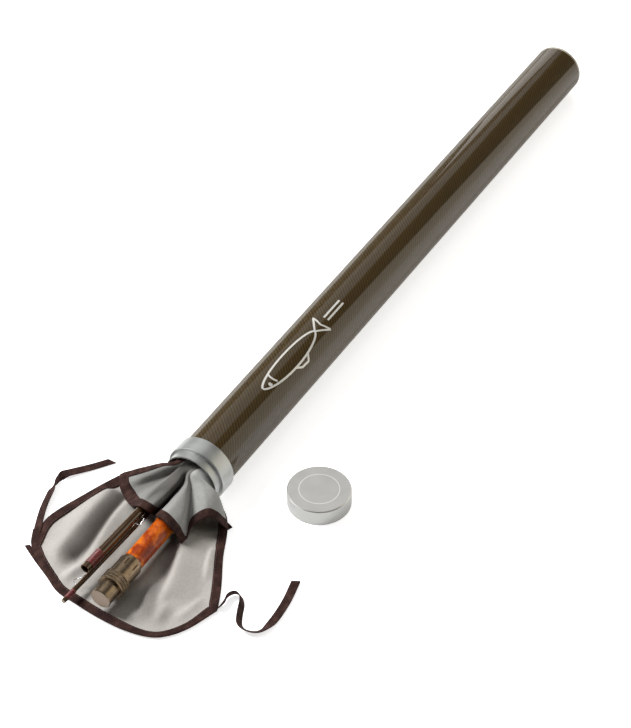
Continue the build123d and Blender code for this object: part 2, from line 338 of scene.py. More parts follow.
def make_bronze():
    """Champagne-brown anodised hardware, with a knurl round the lock nut's middle and a painted shade on
    the butt plate's end face.
    """
    end_skin, knurl_margin, knurl_count = 0.4 * MM, 1.2 * MM, 84
    s = Shader("bronze_hardware", metallic=1.0)
    x, y, z = s.axes()
    cloud = s.noise(260.0, detail=4.0)
    tone = s.ramp(cloud, (0.3, (0.180, 0.130, 0.082)), (0.7, (0.250, 0.187, 0.125)))
    # Painted shade: the butt plate's end face is darker.
    end_face = s.below(x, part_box("butt_plate")[0].x + end_skin)
    s.set("Base Color", s.mix(end_face, tone, (0.135, 0.102, 0.077)))
    s.set("Roughness", s.spread(cloud, 0.24, 0.36))
    nut_low, nut_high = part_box("lock_nut")
    middle = (nut_low + nut_high) / 2
    turn = s.math("ARCTAN2", s.minus(z, middle.z), s.minus(y, middle.y))
    on_nut = s.times(s.above(x, nut_low.x + knurl_margin), s.below(x, nut_high.x - knurl_margin))
    knurl = s.times(s.sine(s.times(turn, knurl_count)), on_nut)
    s.set("Normal", s.bump(knurl, 0.14 * MM, 0.8, after=turned_lines(s, x, 0.25)))
    return s.material


def make_cloth(name, dark, light, sheen):
    """Brushed microfibre: a faint nap, soft cloudy tone, a fine knit, and painted shade in folds and
    creases, read from the mesh.
    """
    shade_depth = (0.14, 0.12, 0.10)
    s = Shader(name, roughness=0.92, sheen_weight=sheen, sheen_roughness=0.45)
    nap = s.noise(420.0, detail=5.0, roughness=0.65)
    tone = s.noise(26.0, detail=3.0)
    blend = s.plus(s.times(nap, 0.45), s.times(tone, 0.55))
    # Painted shade: the mesh's painted shade attribute darkens the colour towards a dim copy of it in
    # folds and creases.
    painted_shade_factor = s.node("Attribute", attribute_name="painted_shade").outputs["Fac"]
    plain = s.ramp(blend, (0.32, dark), (0.66, light))
    painted_shade_colour = tuple(part * dim for part, dim in zip(dark, shade_depth))
    s.set("Base Color", s.mix(painted_shade_factor, plain, painted_shade_colour))
    fibre = s.noise(2600.0, detail=2.0)
    rough = s.bump(nap, 0.25 * MM, 0.5)
    s.set("Normal", s.bump(fibre, 0.08 * MM, 0.5, after=rough))
    return s.material


def make_tape():
    """Maroon-brown grosgrain tape: ribs across it and a woven edge, from the strip's own map."""
    s = Shader("binding_tape", roughness=0.85, specular_ior_level=0.15)
    rib_pitch, thread_pitch = 0.75 * MM, 0.5 * MM
    u, v, _ = s.axes(s.node("UVMap", uv_map="cloth").outputs[0])
    rib = s.sine(s.times(u, 2 * math.pi / rib_pitch))
    thread = s.sine(s.times(v, 2 * math.pi / thread_pitch))
    weave = s.times(rib, thread)
    tone = s.noise(140.0, detail=4.0)
    level = s.plus(tone, s.times(s.plus(rib, weave), 0.07))
    colour = s.ramp(level, (0.3, (0.015, 0.0065, 0.0055)), (0.5, (0.031, 0.0135, 0.0108)),
                    (0.75, (0.066, 0.032, 0.026)))
    s.set("Base Color", colour)
    s.set("Normal", s.bump(s.plus(rib, s.times(weave, 0.4)), 0.10 * MM, 0.55))
    return s.material


def make_thread():
    s = Shader("sewing_thread", roughness=0.6)
    twist = s.noise(2400.0, detail=2.0)
    s.set("Base Color", s.ramp(twist, (0.3, (0.045, 0.020, 0.018)), (0.7, (0.120, 0.070, 0.062))))
    s.set("Normal", s.bump(twist, 0.05 * MM, 0.6))
    return s.material


def make_wood():
    """Figured amber wood under varnish: red-brown mottling and fine lengthwise grain."""
    s = Shader("amber_wood", roughness=0.34, specular_ior_level=0.15, coat_weight=0.16,
               coat_roughness=0.10)
    x, y, z = s.axes()
    along = s.join(s.times(x, 0.25), y, z)
    grain = s.noise(1500.0, along, detail=4.0, roughness=0.6)
    settings = {"Vector": s.place(), "Scale": 62.0, "Detail": 3.0, "Distortion": 1.1}
    figure = s.node("TexNoise", settings).outputs["Fac"]
    level = s.plus(s.times(figure, 0.75), s.times(grain, 0.25))
    colour = s.ramp(level, (0.28, (0.105, 0.011, 0.002)), (0.44, (0.27, 0.035, 0.003)),
                    (0.56, (0.51, 0.105, 0.006)), (0.68, (0.73, 0.240, 0.014)))
    s.set("Base Color", colour)
    s.set("Normal", s.bump(grain, 0.03 * MM, 0.2))
    return s.material


def make_cork():
    s = Shader("cork", roughness=0.85)
    cells = s.node("TexVoronoi", {"Vector": s.place(), "Scale": 900.0}).outputs["Distance"]
    pits = s.noise(320.0, detail=4.0)
    colour = s.ramp(pits, (0.30, (0.13, 0.06, 0.025)), (0.42, (0.42, 0.25, 0.12)),
                    (0.7, (0.60, 0.40, 0.22)))
    s.set("Base Color", colour)
    s.set("Normal", s.bump(s.plus(cells, pits), 0.2 * MM, 0.5))
    return s.material


def make_blank():
    """Dark brown rod blank: fine wound fibre under gloss."""
    s = Shader("rod_blank", roughness=0.26, specular_ior_level=0.5, coat_weight=0.9,
               coat_roughness=0.05)
    s.set("Coat Tint", (1.0, 0.80, 0.55, 1.0))
    x, y, z = s.axes()
    wound = s.join(s.times(x, 2200.0), s.times(y, 900.0), z)
    fibre = s.noise(1.0, wound, detail=2.0)
    s.set("Base Color", s.ramp(fibre, (0.3, (0.014, 0.007, 0.002)), (0.7, (0.040, 0.021, 0.007))))
    s.set("Normal", s.bump(fibre, 0.03 * MM, 0.25))
    return s.material


def make_wrap():
    """Maroon wrapping thread under varnish."""
    thread = 0.3 * MM
    s = Shader("thread_wrap", roughness=0.35, specular_ior_level=0.3, coat_weight=0.5,
               coat_roughness=0.05)
    turn = s.sine(s.times(s.axes()[0], 2 * math.pi / thread))
    tone = s.noise(600.0, detail=3.0)
    level = s.plus(tone, s.times(turn, 0.1))
    s.set("Base Color", s.ramp(level, (0.3, (0.045, 0.005, 0.005)), (0.75, (0.20, 0.030, 0.026))))
    s.set("Normal", s.bump(turn, 0.05 * MM, 0.5))
    return s.material


def make_wire():
    s = Shader("guide_wire", metallic=1.0)
    tone = s.noise(900.0, detail=3.0)
    s.set("Base Color", s.ramp(tone, (0.3, (0.55, 0.55, 0.56)), (0.7, (0.72, 0.72, 0.73))))
    s.set("Roughness", s.spread(tone, 0.16, 0.28))
    return s.material


def make_foam():
    s = Shader("foam", roughness=0.95)
    pores = s.node("TexVoronoi", {"Vector": s.place(), "Scale": 1400.0}).outputs["Distance"]
    s.set("Base Color", s.ramp(pores, (0.0, (0.012, 0.012, 0.012)), (0.6, (0.035, 0.035, 0.034))))
    s.set("Normal", s.bump(pores, 0.3 * MM, 0.7))
    return s.material


def make_silver_ink():
    s = Shader("silver_ink", metallic=0.35, roughness=0.38)
    flake = s.noise(5000.0, detail=1.0)
    s.set("Base Color", s.ramp(flake, (0.3, (0.50, 0.49, 0.45)), (0.7, (0.68, 0.67, 0.62))))
    return s.material


composite = make_composite()
aluminium = make_aluminium()
bronze = make_bronze()
sock_cloth = make_cloth("sock_cloth", (0.240, 0.240, 0.228), (0.350, 0.350, 0.335), sheen=0.08)
flap_cloth = make_cloth("flap_cloth", (0.300, 0.280, 0.258), (0.410, 0.390, 0.362), sheen=0.06)
tape_material = make_tape()
thread_material = make_thread()
wood = make_wood()
cork = make_cork()
blank_material = make_blank()
wrap_material = make_wrap()
wire = make_wire()
foam = make_foam()
silver_ink = make_silver_ink()

# --- ties

TIE_WIDTH = 7.6 * MM
TIE_THICKNESS = 0.9 * MM


def nurbs_line(points):
    """The smooth line of a free cord's route: its points are the spline's control points."""
    data = bpy.data.curves.new("route", "CURVE")
    data.dimensions = "3D"
    spline = data.splines.new("NURBS")
    spline.points.add(len(points) - 1)
    for target, point in zip(spline.points, points):
        target.co = (*at(*point), 1.0)
    spline.order_u = 3
    spline.use_endpoint_u = True
    spline.resolution_u = 14
    holder = bpy.data.objects.new("route", data)
    mesh = bpy.data.meshes.new_from_object(holder)
    line = [v.co.copy() for v in mesh.vertices]
    bpy.data.meshes.remove(mesh)
    bpy.data.objects.remove(holder)
    bpy.data.curves.remove(data)
    return line


def running_length(line):
    """The length of a line of vectors up to each of its points."""
    steps = [(b - a).length for a, b in zip(line, line[1:])]
    return [0.0, *np.cumsum(steps)]


def ribbon(name, line, width, thickness, roll, slant):
    """A flat tape along a line, with its far end cut at a slant.

    roll gives its turn about the line, in degrees, at a share of its length.
    """
    lengths = running_length(line)
    face = [(-0.5, 0.25), (-0.42, 0.5), (-0.2, 0.5), (0.0, 0.5), (0.2, 0.5), (0.42, 0.5), (0.5, 0.25)]
    section = face + [(a, -b) for a, b in reversed(face)]
    verts = []
    for i, point in enumerate(line):
        ahead = (line[min(i + 1, len(line) - 1)] - line[max(i - 1, 0)]).normalized()
        side = Vector((0, 0, 1)).cross(ahead).normalized()
        turn = Matrix.Rotation(math.radians(roll(lengths[i] / lengths[-1])), 3, ahead)
        side, up = turn @ side, turn @ ahead.cross(side)
        near_end = max(0.0, 1 - (lengths[-1] - lengths[i]) / width)
        for a, b in section:
            verts.append(point + side * a * width + up * b * thickness + ahead * a * slant * near_end)
    faces = strip_faces(len(line), len(section), closed=True)
    faces.append(tuple(reversed(range(len(section)))))
    faces.append(tuple(range((len(line) - 1) * len(section), len(line) * len(section))))
    piece = new_mesh(name, verts, faces)
    lay_uv(piece, len(section), lambda i, j: (lengths[i], section[j][0] * width))
    return piece


def eased(share, stops):
    """A value that runs smoothly through (share, value) stops."""
    for (a, va), (b, vb) in zip(stops, stops[1:]):
        if share <= b:
            t = min(1.0, max(0.0, (share - a) / (b - a)))
            return va + (vb - va) * t * t * (3 - 2 * t)
    return stops[-1][1]


def make_tie(name, route, rolls, slant):
    """A free tie along its route; rolls are (share of its length, degrees)."""
    line = nurbs_line(route)
    tie = ribbon(name, line, TIE_WIDTH, TIE_THICKNESS, lambda share: eased(share, rolls), slant)
    dress(tie, tape_material, "sock")
    node = name.removesuffix("_tape")
    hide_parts(node)


make_tie(
    "tie_left_tape",
    [(-106.5, 92.4, 1.9), (-87, 102, 2.6), (-69, 108.5, 2.6), (-42, 115, 4.2), (-27, 105, 2.0),
     (-14, 96, 0.5), (-1.5, 87.5, 0.5)],
    [(0.0, -24.0), (0.42, -30.0), (0.54, -95.0), (0.66, -176.0), (1.0, -180.0)], 5.0 * MM,
)
make_tie(
    "tie_right_tape",
    [(-99.5, -84.5, 2.8), (-92, -86.5, 4.2), (-84, -84, 4.3), (-76.5, -89, 4.2), (-81.5, -98, 4.0),
     (-97, -104, 3.8), (-109, -111, 3.6), (-105, -127, 2.0), (-89, -130.5, 1.3), (-67, -129, 1.2),
     (-53, -126.5, 1.2), (-40, -123.5, 1.2)],
    [(0.0, -60.0), (0.08, -82.0), (0.18, -68.0), (0.30, -54.0), (0.44, -50.0), (0.56, -38.0),
     (0.68, -4.0), (1.0, 0.0)], -2.0 * MM,
)

# --- sock

SLEEVE_RADIUS = 22.5
SLEEVE_START = 14.0
SLEEVE_END = 540.0
AXIS = tube_height / MM
ROW_STEPS = 9
COLUMN_STEPS = 8

# Where the flap and the pocket panel leave the round sleeve, and how far they go round it, in degrees.
FLAP_START, FLAP_TURN = 80.0, -270.0
PANEL_START, PANEL_TURN = 80.0, 90.0

# The flap lies loose from this x on, and its folds and waves grow to full over the settle length.
# They fade over a few columns at its sides and rows at its hem.
LOOSE_START = -14.0
SETTLE_LENGTH = 22.0
SIDE_FADE = 9
HEM_FADE = 5
FLOOR_HEIGHT = 1.4
LOOSE_RISE, EDGE_RISE, DEEPEST_DIP = 0.6, 1.2, -0.2


def sleeve_point(angle):
    """A point on the sleeve's open end: the angle is from the left side, over the top."""
    a = math.radians(angle)
    return (SLEEVE_START, SLEEVE_RADIUS * math.cos(a), AXIS + SLEEVE_RADIUS * math.sin(a))


def gathered(lines, start, turn):
    """Rays of cloth from the round sleeve: each starts inside the mouth, then takes its own points."""
    step = turn / (len(lines) - 1)
    return [[sleeve_point(start + step * i), *line] for i, line in enumerate(lines)]


# The flap's lines from its left edge to its right one. Their points are at the mouth, the throat,
# the throat's foot, and two places further out over the floor.
FLAP_LINES = [
    [(-8.6, 14, 44), (-10.2, 39.5, 26), (-16.4, 63.2, 10), (-45, 80.5, 3), (-88, 94.2, 1.6)],
    [(-9, 19.5, 36), (-13, 40, 17), (-26, 60, 4), (-57, 72, 2.2), (-97, 80, 1.6)],
    [(-9, 21.5, 27), (-15, 36, 10), (-34, 50, 2.2), (-67, 58, 2), (-105, 62, 1.6)],
    [(-9, 21, 18), (-17, 31, 7), (-38, 38, 1.8), (-72, 42, 1.6), (-112, 42, 1.6)],
    [(-9, 16, 11), (-18, 21, 4.5), (-40, 24, 1.6), (-76, 24, 1.6), (-115, 22, 1.6)],
    [(-9, 8, 7.5), (-19, 8, 3.5), (-42, 6, 1.6), (-78, 3, 1.6), (-118, -1, 1.6)],
    [(-9, -4, 7.2), (-19, -6, 3.5), (-42, -10, 1.6), (-77, -16, 1.6), (-117, -22, 1.6)],
    [(-9, -13.5, 10), (-17, -18, 4.5), (-38, -25, 1.6), (-72, -34, 1.6), (-112, -43, 1.6)],
    [(-9, -18.5, 14.5), (-15, -27, 6.5), (-33, -36, 1.8), (-65, -48, 1.6), (-104, -59, 1.6)],
    [(-9, -20.8, 19.5), (-13, -33, 9), (-28, -43, 2), (-57, -56, 1.6), (-92, -70, 1.6)],
    [(-9, -22, 23.5), (-12, -36, 10), (-23, -44.5, 2.2), (-50, -57.5, 1.6), (-78, -73.5, 1.6)],
]

# The hem's place at the end of each line, and its height.
FLAP_HEM = [(-121, 86.1), (-131, 72.5), (-143, 53), (-150.3, 38.5), (-153, 20), (-156.2, -4.9),
            (-156.7, -28.8), (-152.5, -51.3), (-144, -64.5), (-127, -75.5), (-101, -84.6)]
HEM_HEIGHT = 1.5

# The pocket panel's lines from left to right: mouth, a third and two thirds of the way out, and lip.
# From 0, line 2 is the left pocket's crease, 5 and 9 are the crests over the middle section and the
# butt, 7 and 11 the seams beside the butt, and 13 the crest of the right pocket.
POCKET_LINES = [
    [(-9, 14.5, 43.5), (-11.5, 27, 36.8), (-13.5, 47, 22.3), (-17.9, 66.3, 9.5)],
    [(-9, 10.5, 44), (-15.5, 21.5, 37.5), (-19.5, 42, 20), (-26.8, 61, 6.5)],
    [(-9, 8, 43.2), (-14.8, 18.4, 30), (-21.6, 37.1, 14), (-35.5, 49.9, 5)],
    [(-9, 7.3, 42.2), (-21, 15.5, 32), (-36.3, 25.5, 24), (-48, 34, 15)],
    [(-9, 6.8, 41.9), (-24.8, 12.5, 34.5), (-41.7, 18.5, 30.8), (-55.5, 22, 27.8)],
    [(-9, 5.5, 41.2), (-26.9, 8.3, 36.5), (-42, 13, 32), (-57, 16.8, 30.2)],
    [(-9, 3.2, 40.5), (-24.8, 2.9, 37), (-39.3, 6.3, 30.5), (-55, 10.9, 26)],
    [(-9, 0.5, 40), (-17.2, 2.6, 29.5), (-29.8, 8.8, 17.5), (-43.2, 12.2, 9)],
    [(-9, -0.4, 40.2), (-19.9, -1.8, 34), (-38, -0.5, 30), (-56.5, 2.5, 27)],
    [(-9, -1.3, 40.4), (-23.7, -6.5, 37.6), (-42.2, -8.8, 34.3), (-61.2, -8, 32)],
    [(-9, -2.3, 40.2), (-23.2, -8.6, 35), (-43.7, -16.3, 30), (-61.6, -19.3, 23)],
    [(-9, -3, 40), (-21.1, -9.1, 33), (-37.3, -16.8, 23), (-57, -24.5, 7)],
    [(-9, -4.2, 41.2), (-17.2, -10.2, 36), (-31.5, -17.2, 25), (-43.8, -22.9, 16)],
    [(-9, -7.9, 43.6), (-15.3, -17.2, 38), (-26.4, -26.8, 31), (-34.6, -32.7, 24.5)],
    [(-9, -13.8, 41.2), (-13.7, -24.3, 36), (-21.9, -32.9, 28), (-28.2, -38.4, 19)],
    [(-9, -19.3, 35.6), (-12.5, -30.4, 30), (-17.2, -37.4, 19), (-22.9, -42.2, 8)],
    [(-9, -22, 28.3), (-11, -31, 22), (-14, -37.5, 11), (-20.1, -43.8, 3)],
]

# Soft folds of the flap: the crest's points, its height, and its half widths to the left and right.
FLAP_FOLDS = [
    ([(-32, 63.5), (-62, 62.7), (-88, 62.3), (-112, 61.5), (-136, 57)], 10.0, 17.0, 15.0),
    ([(-34, 46), (-59.5, 45), (-79, 42), (-96, 39), (-114, 35)], 6.5, 4.0, 17.0),
    ([(-110, 34), (-124, 38.5), (-140, 44)], 5.0, 5.0, 6.0),
    ([(-48, 6), (-80, 5), (-118, 8)], 5.5, 5.0, 6.0),
    ([(-34, -8), (-58, -22.5), (-74, -30), (-95, -37.5), (-120, -43)], 8.5, 6.0, 24.0),
    ([(-106, -24), (-132, -34), (-144, -30)], 3.5, 5.0, 8.0),
    ([(-116, -46), (-138, -50)], 3.0, 4.0, 8.0),
    ([(-44, -44), (-62, -51), (-80, -60)], 3.0, 4.0, 6.0),
    ([(-98, -68), (-126, -62)], 2.0, 4.0, 7.0),
]

# Painted shade in the flap's valleys: the valley's points, the depth of the painted shade, and the two
# half widths.
FLAP_PAINTED_SHADES = [
    ([(-28, 52), (-57, 50.5), (-78, 48), (-97, 46), (-114, 48), (-128, 54)], 0.96, 12.0, 3.0),
    ([(-40, 28), (-70, 29), (-104, 27)], 0.35, 5.0, 9.0),
    ([(-40, 13), (-80, 13), (-108, 13.5), (-140, 17)], 0.60, 6.0, 4.0),
    ([(-44, 3), (-80, -2), (-112, 0)], 0.30, 14.0, 6.0),
    ([(-42, -8), (-58, -15), (-76, -21), (-98, -28)], 0.45, 8.0, 7.0),
    ([(-118, -14), (-136, -40), (-128, -58)], 0.28, 12.0, 12.0),
    ([(-20, -30), (-30, -38), (-36, -44)], 0.4, 10.0, 7.0),
]

# Painted shade of the pocket panel from left to right, and its painted crease shade: line, half width in
# lines, and depth.
PANEL_PAINTED_SHADE = [(0.0, 0.50), (0.16, 0.50), (0.24, 0.95), (0.42, 0.90), (0.5, 0.42), (0.66, 0.24),
              (0.74, 0.06), (1.0, 0.04)]
PANEL_PAINTED_CREASES = [(2.0, 0.5, 0.30), (4.4, 0.3, 0.22), (7.0, 0.55, 0.45), (9.0, 0.3, 0.15),
                 (11.0, 0.45, 0.40), (13.2, 0.25, 0.12)]
PANEL_PAINTED_SHADE_LIMIT = 0.88


def beside(line, x, y):
    """A place's distance from a line, whether it lies to the left, and the share of the line there."""
    place = Vector((x, y))
    spans = [Vector(b) - Vector(a) for a, b in zip(line, line[1:])]
    whole = sum(span.length for span in spans)
    best, passed = None, 0.0
    for start, span in zip(line, spans):
        reach = place - Vector(start)
        share = min(1.0, max(0.0, reach.dot(span) / span.length_squared))
        off = reach - span * share
        is_left = span.x * off.y - span.y * off.x < 0
        if best is None or off.length < best[0]:
            best = (off.length, is_left, (passed + share * span.length) / whole)
        passed += span.length
    return best


def end_fade(share):
    """1 along a fold, falling to 0 quickly at its start and slowly at its end."""
    return min(1.0, 20.0 * share, 7.0 * (1.0 - share))


def fold_height(x, y):
    """The height in millimetres that the folds add at a place on the flap.

    A fold is a tent with a rounded ridge. It is highest halfway along, and fades at its ends.
    """
    height = 0.0
    for crest, rise, left, right in FLAP_FOLDS:
        away, is_left, share = beside(crest, x, y)
        run = away / (left if is_left else right)
        slope = max(0.0, 1.14 - math.sqrt(run * run + 0.02)) ** 1.2
        arch = 0.35 + 0.65 * math.sin(math.pi * (0.15 + 0.7 * share))
        height = max(height, rise * slope * end_fade(share) * arch)
    return height


def painted_fold_shade(x, y):
    """How much painted shade the cloth has at a place on the flap, from 0 to 1."""
    painted_shade = 0.0
    for valley, shade_depth, left, right in FLAP_PAINTED_SHADES:
        away, is_left, share = beside(valley, x, y)
        run = away / (left if is_left else right)
        painted_shade = max(painted_shade, shade_depth * end_fade(share) * math.exp(-(run**2)))
    return painted_shade


def painted_gather_shade(row_share, line):
    """How much painted shade the pocket panel has, from 0 to 1: darker in its creases and up in the
    gather.
    """
    broad = eased(line / (len(POCKET_LINES) - 1), PANEL_PAINTED_SHADE)
    narrow = max(shade_depth * math.exp(-((line - middle) / width) ** 2)
                 for middle, width, shade_depth in PANEL_PAINTED_CREASES)
    return min(PANEL_PAINTED_SHADE_LIMIT, broad * (1.9 - 1.6 * row_share) + narrow)


# Painted shade at each point of the flap and of the pocket panel.
def painted_flap_shades(grid):
    return np.array([[painted_fold_shade(x, y) for x, y in row] for row in from_frame(grid)[:, :, :2]])


def painted_panel_shades(grid):
    rows, columns = grid.shape[:2]
    last = len(POCKET_LINES) - 1
    return np.array([[painted_gather_shade(i / (rows - 1), j * last / (columns - 1)) for j in range(columns)]
                     for i in range(rows)])


def ripple(point, size, seed):
    """Smooth wandering noise from -1 to 1, with bumps of about that many millimetres."""
    return noise.noise(point / (size * MM) + Vector((seed, seed * 2.0, seed * 3.0)))


def grid_normals(grid):
    """Unit normals of a grid, on the side that faces up or out."""
    down = np.gradient(grid, axis=0)
    right = np.gradient(grid, axis=1)
    normals = np.cross(right, down)
    return normals / np.maximum(np.linalg.norm(normals, axis=2, keepdims=True), 1e-12)


def to_frame(grid):
    """Metres in the shared frame, from millimetres at the mouth."""
    return grid * MM + np.array([mouth_x, mouth_y, 0.0])


def from_frame(grid):
    """Millimetres at the mouth, from metres in the shared frame."""
    return (grid - np.array([mouth_x, mouth_y, 0.0])) / MM


def make_flap_grid():
    """The flap's middle surface: its folds and waves grow away from the mouth and fade at its edges."""
    lines = [[*line, (*hem, HEM_HEIGHT)] for line, hem in zip(FLAP_LINES, FLAP_HEM)]
    grid = surface(gathered(lines, FLAP_START, FLAP_TURN), ROW_STEPS, COLUMN_STEPS)
    rows, columns = grid.shape[:2]
    for i in range(rows):
        for j in range(columns):
            x, y, z = grid[i, j]
            if x > LOOSE_START:
                continue
            rim = min(1.0, j / SIDE_FADE, (columns - 1 - j) / SIDE_FADE, (rows - 1 - i) / HEM_FADE)
            settle = min(1.0, (LOOSE_START - x) / SETTLE_LENGTH)
            place = Vector((x, y, 0)) * MM
            waves = 0.55 * ripple(place, 24, 1.0) + 0.22 * ripple(place, 9, 4.0)
            lift = rim * settle * (fold_height(x, y) + LOOSE_RISE + waves)
            edge_lift = (1 - rim) * (0.5 + 0.5 * ripple(place, 30, 7.0)) * EDGE_RISE
            grid[i, j, 2] = max(FLOOR_HEIGHT, z) + max(DEEPEST_DIP, lift) + edge_lift * settle
    return to_frame(grid)


def make_pocket_grid():
    """The pocket panel's middle surface: small waves start past the throat."""
    grid = surface(gathered(POCKET_LINES, PANEL_START, PANEL_TURN), ROW_STEPS, COLUMN_STEPS)
    normals = grid_normals(grid)
    rows, columns = grid.shape[:2]
    throat_rows = 2 * ROW_STEPS
    for i in range(throat_rows, rows):
        for j in range(columns):
            place = Vector(grid[i, j]) * MM
            fade = min(1.0, (i - throat_rows) / ROW_STEPS)
            waves = 0.45 * ripple(place, 13, 2.0) + 0.2 * ripple(place, 5, 5.0)
            grid[i, j] += normals[i, j] * fade * waves
    return to_frame(grid)


def make_cloth_piece(name, grid, painted_shade, material, replaced):
    """A thick cloth sheet over a grid, with its painted shade kept at its points."""
    piece = grid_mesh(name, grid)
    # Painted shade: how dark each point is painted, for folds and creases.
    tone = piece.data.attributes.new("painted_shade", "FLOAT", "POINT")
    tone.data.foreach_set("value", painted_shade.ravel())
    lay_uv(piece, grid.shape[1], lambda i, j: (i * MM, j * MM))
    thicken(piece, CLOTH)
    smooth = piece.modifiers.new("smooth", "SUBSURF")
    smooth.levels = 1
    smooth.render_levels = 1
    dress(piece, material, "sock")
    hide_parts(*replaced)


flap_grid = make_flap_grid()
pocket_grid = make_pocket_grid()
make_cloth_piece("flap", flap_grid, painted_flap_shades(flap_grid), flap_cloth, ["sock_flap"])
make_cloth_piece(
    "pocket_panel", pocket_grid, painted_panel_shades(pocket_grid), sock_cloth,
    ["pocket_left", "pocket_middle_section", "pocket_butt_section", "pocket_right", "sock_throat"],
)


def make_sleeve():
    """The long part of the sock inside the tube, with soft lengthwise folds and a closed end."""
    around, lengthways, end_rows = 96, 110, 7
    slope = (base_height / MM - AXIS) / TUBE_LENGTH
    rows = []
    for i in range(lengthways + end_rows):
        share = min(1.0, i / (lengthways - 1))
        x = SLEEVE_START + (SLEEVE_END - SLEEVE_START) * share
        closing = max(0, i - lengthways + 1) / end_rows
        row = []
        for k in range(around):
            angle = 2 * math.pi * k / around
            place = Vector((x / 60.0, math.cos(angle) * 1.6, math.sin(angle) * 1.6))
            fold = 0.35 * noise.noise(place) + 0.15 * math.sin(9 * angle + x / 40.0)
            radius = (SLEEVE_RADIUS + 0.25 + fold) * (1 - closing**1.5 * 0.97)
            height = AXIS + slope * x + radius * math.sin(angle)
            row.append((x + 3.0 * closing, radius * math.cos(angle), height))
        rows.append(row)
    grid = to_frame(np.array(rows))
    count, columns = grid.shape[:2]
    piece = new_mesh("sleeve", grid.reshape(-1, 3), strip_faces(count, columns, closed=True))
    lay_uv(piece, columns, lambda i, j: (i * MM, j * MM))
    thicken(piece, CLOTH, -1.0)
    dress(piece, sock_cloth, "sock")
    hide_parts("sock_sleeve")


make_sleeve()

# --- binding tape

TAPE = 0.5 * MM
TAPE_LIFT = CLOTH / 2 + 0.35 * MM


def distances_along(line):
    """The length of a line of points up to each of them."""
    steps = np.linalg.norm(np.diff(line, axis=0), axis=1)
    return np.concatenate([[0.0], np.cumsum(steps)])


def between(distances, lengths, values):
    """Values at those distances along a line, from the ones at its points."""
    return np.stack([np.interp(distances, lengths, column) for column in values.T], axis=-1)


def walk(line, distances):
    """Points at those distances along a line of points."""
    return between(distances, distances_along(line), line)


def folded_tape(name, stations, width, replaced):
    """Tape folded over an edge: over the top, round the edge and back under the cloth.

    Each station holds the points from the edge inward, and their normals.
    """
    count = len(stations[0][0])
    rows, lengths = [], [0.0]
    for points, normals in stations:
        outward = points[0] - points[1]
        outward = outward / max(np.linalg.norm(outward), 1e-9) * TAPE_LIFT
        top = [points[k] + normals[k] * TAPE_LIFT for k in reversed(range(count))]
        under = [points[k] - normals[k] * TAPE_LIFT * 0.9 for k in range(count)]
        corner, rise = points[0] + outward * 0.75, normals[0] * TAPE_LIFT * 0.6
        rows.append([*top, corner + rise, points[0] + outward, corner - rise, *under])
        if len(rows) > 1:
            lengths.append(lengths[-1] + np.linalg.norm(rows[-1][count] - rows[-2][count]))
    grid = np.array(rows)
    grid[:, :, 2] = np.maximum(grid[:, :, 2], TAPE / 2)
    columns = grid.shape[1]
    piece = grid_mesh(name, grid)
    lay_uv(piece, columns, lambda i, j: (lengths[i], j * width / count))
    thicken(piece, TAPE)
    dress(piece, tape_material, "sock")
    if replaced:
        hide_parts(*replaced)


STITCH_LENGTH = 2.3 * MM
STITCH_PITCH = 3.1 * MM
STITCH_RADIUS = 0.2 * MM


def stitches(name, line, ups, lift):
    """A row of single stitches above a line, each a short thread that dips at both ends."""
    lengths = distances_along(line)
    verts, faces = [], []
    profile = [(-0.5, 0.35, -0.8), (-0.36, 0.9, 0.0), (0.0, 1.0, 0.5), (0.36, 0.9, 0.0), (0.5, 0.35, -0.8)]
    sides = 6
    for middle in np.arange(STITCH_PITCH, lengths[-1] - STITCH_PITCH, STITCH_PITCH):
        centre = Vector(between(middle, lengths, line))
        ahead = Vector(between(middle + STITCH_PITCH / 2, lengths, line)) - centre
        up = Vector(between(middle, lengths, ups)).normalized()
        ahead.normalize()
        side = up.cross(ahead).normalized()
        first = len(verts)
        for along, size, rise in profile:
            for k in range(sides):
                a = 2 * math.pi * k / sides
                ring = side * math.cos(a) + up * (math.sin(a) * 0.8 + rise)
                spot = centre + ahead * along * STITCH_LENGTH
                verts.append(spot + ring * size * STITCH_RADIUS + up * lift)
        faces += [tuple(first + k for k in f) for f in strip_faces(len(profile), sides, closed=True)]
        faces.append(tuple(first + k for k in reversed(range(sides))))
        faces.append(tuple(first + (len(profile) - 1) * sides + k for k in range(sides)))
    dress(new_mesh(name, verts, faces), thread_material, "sock")


TAPE_POINTS = 5
EDGE_POINTS = 4
HEM_SPACING = 2.0 * MM

# Shares of the tapes' widths along them: the lip's is wider on the left pocket, and the hem's is
# wider along the left side and narrower where it turns on edge.
LIP_WIDTHS = [(0.0, 1.4), (0.16, 1.4), (0.26, 1.0), (1.0, 1.0)]
HEM_WIDTHS = [(0.0, 1.15), (0.24, 1.25), (0.34, 1.0), (0.56, 1.0), (0.64, 0.62), (0.70, 0.70),
              (0.76, 1.0), (1.0, 1.0)]


def lip_stations(grid, width):
    """Stations along a grid's last row, inset along its columns."""
    normals = grid_normals(grid)
    stations = []
    for j in range(grid.shape[1]):
        factor = eased(j / (grid.shape[1] - 1), LIP_WIDTHS)
        points = walk(grid[::-1, j], np.linspace(0, width * factor, TAPE_POINTS))
        nearest = [np.argmin(np.linalg.norm(grid[:, j] - p, axis=1)) for p in points]
        stations.append((points, np.array([normals[k, j] for k in nearest])))
    return stations


